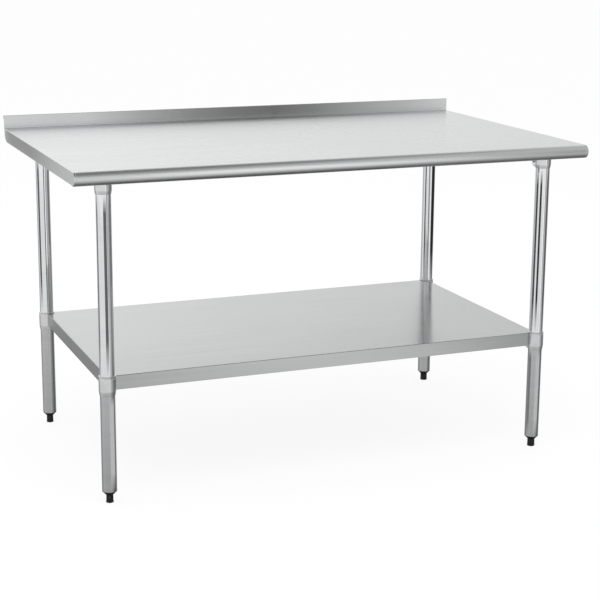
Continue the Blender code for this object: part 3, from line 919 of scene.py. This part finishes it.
def moulded_plastic(name, dark, light, roughness):
    """Black moulded plastic with a fine spark texture, dust and scuffed edges."""
    material, tree, shader = new_material(name, 0.0)
    place = put(tree, "ShaderNodeTexCoord").outputs["Object"]
    texture = clouds(tree, place, 1500.0, 2.0)
    dust = clouds(tree, place, 120.0, 5.0)
    edges = worn_edges(tree, 0.56)
    scuffs = calculate(tree, "MULTIPLY", edges, remapped(tree, dust, 0.4, 0.6))
    tone = calculate(tree, "MULTIPLY_ADD", scuffs, 0.6, remapped(tree, dust, 0.5, 0.8, 0.0, 0.35))
    rough = calculate(tree, "MULTIPLY_ADD", dust, 0.25, roughness - 0.1)
    dress(tree, shader, blended(tree, tone, dark, light), rough, 0.3, 0.0001, texture)
    shader.inputs["Specular IOR Level"].default_value = 0.25
    return material


TOP_STEEL = brushed_steel(
    "brushed_stainless", (0.65, 0.655, 0.66), (0.71, 0.715, 0.72), 0.26, 0.05, 0.9,
    (1600.0, 22.0, 1.0), (70.0, 1.6, 1.0), 0.000008,
)
# Painted shade: the shelf's steel is a darker copy of the worktop's steel, for the shelf in the
# worktop's shade.
SHADED_SHELF_STEEL = brushed_steel(
    "brushed_stainless_shelf_painted_shade", (0.40, 0.403, 0.406), (0.46, 0.463, 0.466), 0.17, 0.04, 0.9,
    (1600.0, 22.0, 1.0), (70.0, 1.6, 1.0), 0.000004,
)
LEG_STEEL = brushed_steel(
    "polished_stainless", (0.68, 0.69, 0.70), (0.78, 0.785, 0.79), 0.06, 0.03, 0.3,
    (900.0, 30.0, 1.0), (60.0, 9.0, 1.0), 0.0000008,
)
# Painted shade: the legs' base colour is darker below the shelf.
painted_shade_below(LEG_STEEL, 0.335, 0.027, 0.66, 0.17)
GALVANISED = spangled_steel("galvanised_steel", (0.36, 0.38, 0.40), (0.58, 0.60, 0.61), 0.42)
SOCKET_METAL = cast_metal("polished_casting", (0.60, 0.605, 0.61), (0.76, 0.765, 0.77), 0.16)
CASTING = cast_metal("cast_aluminium", (0.50, 0.505, 0.51), (0.72, 0.725, 0.73), 0.24)
PLATED = plated_screw("zinc_plated_screw", (0.42, 0.43, 0.45), (0.74, 0.75, 0.76), 0.32)
PLASTIC = moulded_plastic("black_plastic", (0.004, 0.004, 0.0045), (0.06, 0.06, 0.06), 0.50)


# The table.

deck_z = next(m for m in frame["record"]["mounts"] if m["name"] == "work_surface")["pos_m"][2]
shelf_low, shelf_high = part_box("undershelf")
top_low, top_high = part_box("worktop")
leg_boxes = {corner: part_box(f"leg_{corner}") for corner in CORNERS}
leg_axes = {corner: ((low + high) / 2).to_2d() for corner, (low, high) in leg_boxes.items()}
leg_low, leg_high = leg_boxes["front_left"]
leg_radius = (leg_high.x - leg_low.x) / 2
socket_low, socket_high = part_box("leg_socket_front_left")
collar_low, collar_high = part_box("shelf_collar_front_left")
collar_radius = leg_axes["front_left"].x - collar_low.x

worktop = worktop_mesh(top_low, top_high, deck_z)
add_piece("worktop_sheet", worktop, TOP_STEEL, "table_frame", ["worktop"])
for side, x in (("left", top_low.x + SEAM_INSET), ("right", top_high.x - SEAM_INSET)):
    seam = seam_mesh(f"nose_seam_{side}", x, top_low, deck_z)
    add_piece(f"nose_seam_{side}", seam, PLATED, "table_frame")

shelf = shelf_mesh(shelf_low, shelf_high, leg_axes, collar_radius + NOTCH_GAP)
add_piece("undershelf_sheet", shelf, SHADED_SHELF_STEEL, "sliding_shelf", ["undershelf"])

for node in ("top_channel_left", "top_channel_right", "top_channel_long", "undershelf_channel"):
    frame["nodes"][node].data.materials.clear()
    frame["nodes"][node].data.materials.append(GALVANISED)

for node in ("top_channel_left", "top_channel_right", "top_channel_long"):
    add_spot_welds(node, "table_frame")
add_spot_welds("undershelf_channel", "sliding_shelf")

screw_low, screw_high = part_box("socket_screw_front_left")
collar_screw_low, collar_screw_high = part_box("collar_screw_front_left")
screw_radius = (screw_high.z - screw_low.z) / 2
screw_z = (screw_low.z + screw_high.z) / 2
collar_screw_z = (collar_screw_low.z + collar_screw_high.z) / 2
stud_low, stud_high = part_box("foot_stud_front_left")
stud_radius = (stud_high.x - stud_low.x) / 2
insert_low, insert_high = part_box("foot_insert_front_left")
foot_low, foot_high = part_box("foot_front_left")
bore_radius = stud_radius + STUD_GAP

tube = tube_mesh(leg_radius, leg_low.z, leg_high.z)
plate_side = socket_high.x - socket_low.x
casting = socket_mesh(SOCKET_RADIUS, leg_radius, plate_side, socket_high.z, socket_low.z, screw_z)
ear_reach = collar_high.x - leg_axes["front_left"].x
collar = collar_mesh(
    collar_radius, leg_radius, ear_reach, collar_high.z, shelf_high.z, collar_low.z, collar_screw_z
)
screw = set_screw_mesh(leg_radius + SCREW_START, leg_radius + SCREW_END, screw_radius)
stud = stud_mesh(stud_radius, stud_low.z, stud_high.z)
plug = insert_mesh(leg_radius, leg_low.z, insert_low.z, insert_high.z, bore_radius)

for corner in CORNERS:
    axis = leg_axes[corner]
    middle = Matrix.Translation((axis.x, axis.y, 0.0))
    inward = math.atan2(-math.copysign(1.0, axis.y), -math.copysign(1.0, axis.x))
    turned_in = middle @ Matrix.Rotation(inward - math.pi / 4, 4, "Z")
    pointed_in = middle @ Matrix.Rotation(inward, 4, "Z")
    add_piece(
        f"leg_tube_{corner}", tube, LEG_STEEL, "table_frame",
        [f"leg_{corner}"], middle,
    )
    add_piece(
        f"socket_casting_{corner}", casting, SOCKET_METAL, "table_frame",
        [f"leg_socket_{corner}"], turned_in,
    )
    bead_z = socket_high.z + OVERLAP / 2
    for side in (-1, 1):
        x = axis.x + side * BEAD_OFFSET
        name = f"socket_weld_{corner}_{'inner' if side * axis.x < 0 else 'outer'}"
        ends = [(x, axis.y + half, bead_z) for half in (-BEAD_LENGTH / 2, BEAD_LENGTH / 2)]
        bead = weld_mesh(name, *ends, BEAD_RADIUS)
        add_piece(name, bead, PLATED, "table_frame")
    add_piece(
        f"collar_casting_{corner}", collar, CASTING, "sliding_shelf",
        [f"shelf_collar_{corner}"], turned_in,
    )
    for kind, height in (("socket", screw_z), ("collar", collar_screw_z)):
        node = f"{kind}_screw_{corner}"
        lift = Matrix.Translation((0.0, 0.0, height))
        add_piece(
            f"{node}_threaded", screw, PLATED, node,
            [node], pointed_in @ lift,
        )
    add_piece(
        f"insert_plug_{corner}", plug, PLASTIC, "table_frame",
        [f"foot_insert_{corner}"], middle,
    )
    add_piece(
        f"foot_thread_{corner}", stud, PLATED, f"foot_stud_{corner}",
        [f"foot_stud_{corner}"], middle,
    )
    turn = math.radians(FOOT_TURNS[corner])
    block = foot_mesh(foot_low.z, foot_high.z, bore_radius, stud_low.z, turn)
    add_piece(
        f"foot_block_{corner}", block, PLASTIC, f"foot_{corner}",
        [f"foot_{corner}"], middle,
    )


# Studio: a plain pale floor, soft light, and what the metal mirrors.


def world_direction(tree):
    """The heading from -Y towards +X and the elevation of a direction, in degrees."""
    direction = put(tree, "ShaderNodeTexCoord").outputs["Generated"]
    x, y, z = put(tree, "ShaderNodeSeparateXYZ", {0: direction}).outputs
    back = calculate(tree, "MULTIPLY", y, -1.0)
    heading = calculate(tree, "DEGREES", calculate(tree, "ARCTAN2", x, back))
    elevation = calculate(tree, "DEGREES", calculate(tree, "ARCSINE", z))
    return heading, elevation


def ramp(tree, value, stops):
    """Grey levels against a value. Each stop is (value, level)."""
    low, high = stops[0][0], stops[-1][0]
    share = remapped(tree, value, low, high)
    node = put(tree, "ShaderNodeValToRGB", {0: share})
    elements = node.color_ramp.elements
    while len(elements) > 1:
        elements.remove(elements[0])
    for index, (at, level) in enumerate(stops):
        place = (at - low) / (high - low)
        element = elements[0] if index == 0 else elements.new(place)
        element.position = place
        element.color = (level / 2, level / 2, level / 2, 1.0)
    grey = put(tree, "ShaderNodeSeparateColor", {0: node.outputs[0]}).outputs[0]
    return calculate(tree, "MULTIPLY", grey, 2.0)


def make_world():
    """Metal mirrors levels that vary with direction, as listed. All else sees plain white."""
    world = bpy.data.worlds.new("studio")
    bpy.context.scene.world = world
    world.use_nodes = True
    tree = world.node_tree
    tree.nodes.clear()
    heading, elevation = world_direction(tree)
    steep = ramp(tree, heading, [
        (-180, 0.45), (-160, 0.42), (-150, 0.40), (-140, 0.45), (-128, 0.80), (-112, 0.94),
        (-26, 0.94), (-16, 0.98), (0, 0.92), (14, 0.92), (19, 1.06), (25, 1.14), (29, 1.0),
        (32, 0.80), (36, 0.65), (48, 0.68), (56, 0.50), (68, 0.35), (90, 0.20), (108, 0.26),
        (121, 0.45), (150, 0.50), (180, 0.45),
    ])
    shallow = ramp(tree, heading, [
        (-180, 0.75), (-160, 0.75), (-150, 0.45), (-140, 0.45), (-128, 0.80), (-112, 0.94),
        (-26, 0.94), (-16, 0.90), (0, 1.0), (10, 0.95), (13.5, 0.60), (16, 1.25), (20, 1.45),
        (24, 1.4), (27, 1.1), (29, 0.62), (31, 0.30), (34, 0.20), (38, 0.55), (48, 0.68), (56, 0.50),
        (68, 0.35), (80, 0.22), (90, 0.16), (108, 0.20), (121, 0.45), (150, 0.60), (180, 0.75),
    ])
    tilt = remapped(tree, elevation, -15.0, -9.0)
    low_wall = between(tree, tilt, steep, shallow)
    depth = ramp(tree, elevation, [
        (-90, 0.15), (-70, 0.22), (-58, 0.36), (-42, 0.56), (-25, 0.85), (-18, 1.0), (0, 1.0),
    ])
    lower = calculate(tree, "MULTIPLY", low_wall, depth)
    eye_level = ramp(tree, heading, [
        (-180, 0.9), (-60, 0.9), (12, 0.9), (13.5, 0.4), (16, 1.2), (20, 1.4), (24, 1.3),
        (27, 1.0), (29, 0.62), (31, 0.30), (34, 0.20), (40, 0.6), (50, 0.7), (180, 0.9),
    ])
    climb = ramp(tree, elevation, [(0, 0.0), (12, 0.0), (22, 1.0), (90, 1.0)])
    rise_left = ramp(tree, elevation, [
        (0, 0.9), (14, 0.9), (26, 0.85), (42, 0.45), (58, 0.2), (90, 0.12),
    ])
    rise_right = ramp(tree, elevation, [
        (0, 0.5), (30, 0.45), (52, 0.75), (58, 0.6), (64, 0.25), (90, 0.12),
    ])
    rightward = remapped(tree, heading, 27.0, 38.0)
    rise = between(tree, rightward, rise_left, rise_right)
    front = between(tree, climb, eye_level, rise)
    leftward = ramp(tree, heading, [
        (-180, 1.0), (-120, 1.0), (-100, 1.2), (3, 1.2), (13, 1.0), (180, 1.0),
    ])
    front = calculate(tree, "MULTIPLY", front, leftward)
    rear = ramp(tree, heading, [
        (-180, 1.15), (-130, 1.0), (0, 0.9), (130, 0.8), (147, 0.92), (166, 1.2), (180, 1.2),
    ])
    back = ramp(tree, elevation, [
        (0, 1.2), (9, 1.2), (15, 1.0), (20, 1.0), (28, 1.25), (42, 1.2), (50, 0.8), (58, 0.45),
        (66, 0.12), (90, 0.06),
    ])
    back = calculate(tree, "MULTIPLY", back, rear)
    behind = ramp(tree, heading, [
        (-180, 1.0), (-130, 1.0), (-110, 0.0), (110, 0.0), (130, 1.0), (180, 1.0),
    ])
    upper = between(tree, behind, front, back)
    above = remapped(tree, elevation, -1.0, 1.0)
    strength = between(tree, above, lower, upper)
    mirrored = put(tree, "ShaderNodeBackground", {"Color": WHITE, "Strength": strength})
    plain = put(tree, "ShaderNodeBackground", {"Color": WHITE, "Strength": 1.0})
    path = put(tree, "ShaderNodeLightPath")
    seen = put(tree, "ShaderNodeMixShader", {
        0: path.outputs["Is Glossy Ray"], 1: plain.outputs[0], 2: mirrored.outputs[0],
    })
    put(tree, "ShaderNodeOutputWorld", {"Surface": seen.outputs[0]})


def only_mirrored(obj):
    """Leaves an object to be seen only in reflections."""
    obj.visible_camera = False
    obj.visible_diffuse = False
    obj.visible_transmission = False
    obj.visible_shadow = False


def add_card(name, centre, width, height, facing, stops, axis=0, faded=None):
    """A studio card or dark flag that glows on one side. The metal mirrors it.

    Each stop is (coordinate, level), and the coordinate is along the axis: 0 for X or 1 for Y.
    A faded card also has (height, clearness) stops.
    """
    bm = bmesh.new()
    bmesh.ops.create_grid(bm, x_segments=1, y_segments=1, size=0.5)
    bmesh.ops.scale(bm, vec=(width, height, 1.0), verts=bm.verts)
    mesh = bpy.data.meshes.new(name)
    bm.to_mesh(mesh)
    bm.free()
    card = add_object(name, mesh)
    card.location = centre
    card.rotation_euler = Vector(facing).to_track_quat("Z", "Y").to_euler()
    material = bpy.data.materials.new(name)
    material.use_nodes = True
    tree = material.node_tree
    tree.nodes.clear()
    geometry = put(tree, "ShaderNodeNewGeometry")
    place = put(tree, "ShaderNodeSeparateXYZ", {0: geometry.outputs["Position"]})
    level = ramp(tree, place.outputs[axis], stops)
    hidden = geometry.outputs["Backfacing"]
    if faded:
        hidden = calculate(tree, "MAXIMUM", hidden, ramp(tree, place.outputs[2], faded))
    glow = put(tree, "ShaderNodeEmission", {"Color": WHITE, "Strength": level})
    shown = clear_where(tree, hidden, glow.outputs[0])
    put(tree, "ShaderNodeOutputMaterial", {"Surface": shown})
    card.data.materials.append(material)
    only_mirrored(card)


def add_strips(name, corner, bottom, top, strips):
    """Narrow upright cards close to a leg, each mirrored as one straight band."""
    leg_low, leg_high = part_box(f"leg_{corner}")
    centre = (leg_low + leg_high) / 2
    centre.z = (bottom + top) / 2
    radius = (leg_high.x - leg_low.x) / 2
    reach = (top - bottom) * STRIP_FADE
    faded = [(bottom, 1.0), (bottom + reach, 0.0), (top - reach / 2, 0.0), (top, 1.0)]
    for index, (heading, width, level) in enumerate(strips):
        turn = math.radians(heading)
        outward = Vector((math.sin(turn), -math.cos(turn), 0.0))
        stops = [(-2.0, level), (2.0, level)]
        place = centre + outward * (radius + STRIP_GAP)
        add_card(f"{name}_{index}", place, width, top - bottom, -outward, stops, faded=faded)


def make_floor():
    bm = bmesh.new()
    bmesh.ops.create_circle(bm, cap_ends=True, segments=128, radius=60.0)
    floor = add_object("floor", mesh_from(bm, "floor"))
    floor.location = (0.0, 0.0, cad_bounds[0].z - 0.0002)
    material, tree, shader = new_material("pale_floor", 0.0)
    place = put(tree, "ShaderNodeTexCoord").outputs["Object"]
    tone = clouds(tree, place, 0.7, 2.0)
    colour = blended(tree, tone, (0.93, 0.93, 0.93), (0.95, 0.95, 0.95))
    tree.links.new(colour, shader.inputs["Base Color"])
    shader.inputs["Roughness"].default_value = 0.9
    shader.inputs["Specular IOR Level"].default_value = 0.0
    glow = put(tree, "ShaderNodeEmission", {"Color": WHITE, "Strength": FLOOR_GLOW})
    inputs = {0: FLOOR_SHADE, 1: glow.outputs[0], 2: shader.outputs[0]}
    mixed = put(tree, "ShaderNodeMixShader", inputs)
    below = put(tree, "ShaderNodeNewGeometry").outputs["Backfacing"]
    shown = clear_where(tree, below, mixed.outputs[0])
    tree.links.new(shown, tree.nodes["Material Output"].inputs["Surface"])
    floor.data.materials.append(material)
    floor.visible_glossy = False


def make_light():
    light = bpy.data.lights.new("overhead", "AREA")
    light.shape = "DISK"
    light.size = LAMP_SIZE
    light.energy = LAMP_POWER
    lamp = add_object("overhead", light)
    lamp.location = LAMP_PLACE
    lamp.rotation_euler = (-LAMP_PLACE).to_track_quat("-Z", "Y").to_euler()
    lamp.visible_glossy = False
    lamp.visible_camera = False


def make_camera():
    yaw, pitch, roll = CAMERA_TURN
    level = math.cos(pitch)
    forward = Vector((math.sin(yaw) * level, math.cos(yaw) * level, -math.sin(pitch)))
    level_right = Vector((math.cos(yaw), -math.sin(yaw), 0.0))
    level_up = level_right.cross(forward)
    right = level_right * math.cos(roll) + level_up * math.sin(roll)
    up = level_up * math.cos(roll) - level_right * math.sin(roll)
    data = bpy.data.cameras.new("camera")
    data.sensor_width = CAMERA_SENSOR
    data.lens = CAMERA_LENS
    data.shift_y = CAMERA_SHIFT
    data.clip_end = 200.0
    camera = add_object("camera", data)
    turn = Matrix((right, up, -forward)).transposed().to_4x4()
    camera.matrix_world = Matrix.Translation(CAMERA_PLACE) @ turn
    bpy.context.scene.camera = camera


make_world()
make_floor()
make_light()
make_camera()
sheet_low, sheet_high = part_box("worktop")
add_card("upstand_card", (0.0, sheet_high.y - UPSTAND_CARD_GAP, 0.965), 1.56, 0.056, (0, 1, 0), [
    (-0.78, 0.90), (-0.50, 0.82), (-0.30, 0.52), (-0.14, 0.34), (0.0, 0.25), (0.14, 0.21),
    (0.28, 0.30), (0.44, 0.47), (0.62, 0.64), (0.78, 0.86),
])
add_card("apron_card", (sheet_low.x - APRON_CARD_GAP, 0.0, 0.917), 0.90, 0.05, (1, 0, 0), [
    (-0.45, 0.72), (-0.20, 0.62), (0.10, 0.42), (0.45, 0.42),
], axis=1)
for corner in CORNERS:
    collar_low, collar_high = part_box(f"shelf_collar_{corner}")
    socket_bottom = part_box(f"leg_socket_{corner}")[0].z
    leg_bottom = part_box(f"leg_{corner}")[0].z
    add_strips(f"strip_{corner}", corner, collar_high.z, socket_bottom, LEG_STRIPS[corner])
    add_strips(f"low_strip_{corner}", corner, leg_bottom, collar_low.z, LOW_STRIPS.get(corner, []))
bpy.context.scene.view_settings.view_transform = "Standard"
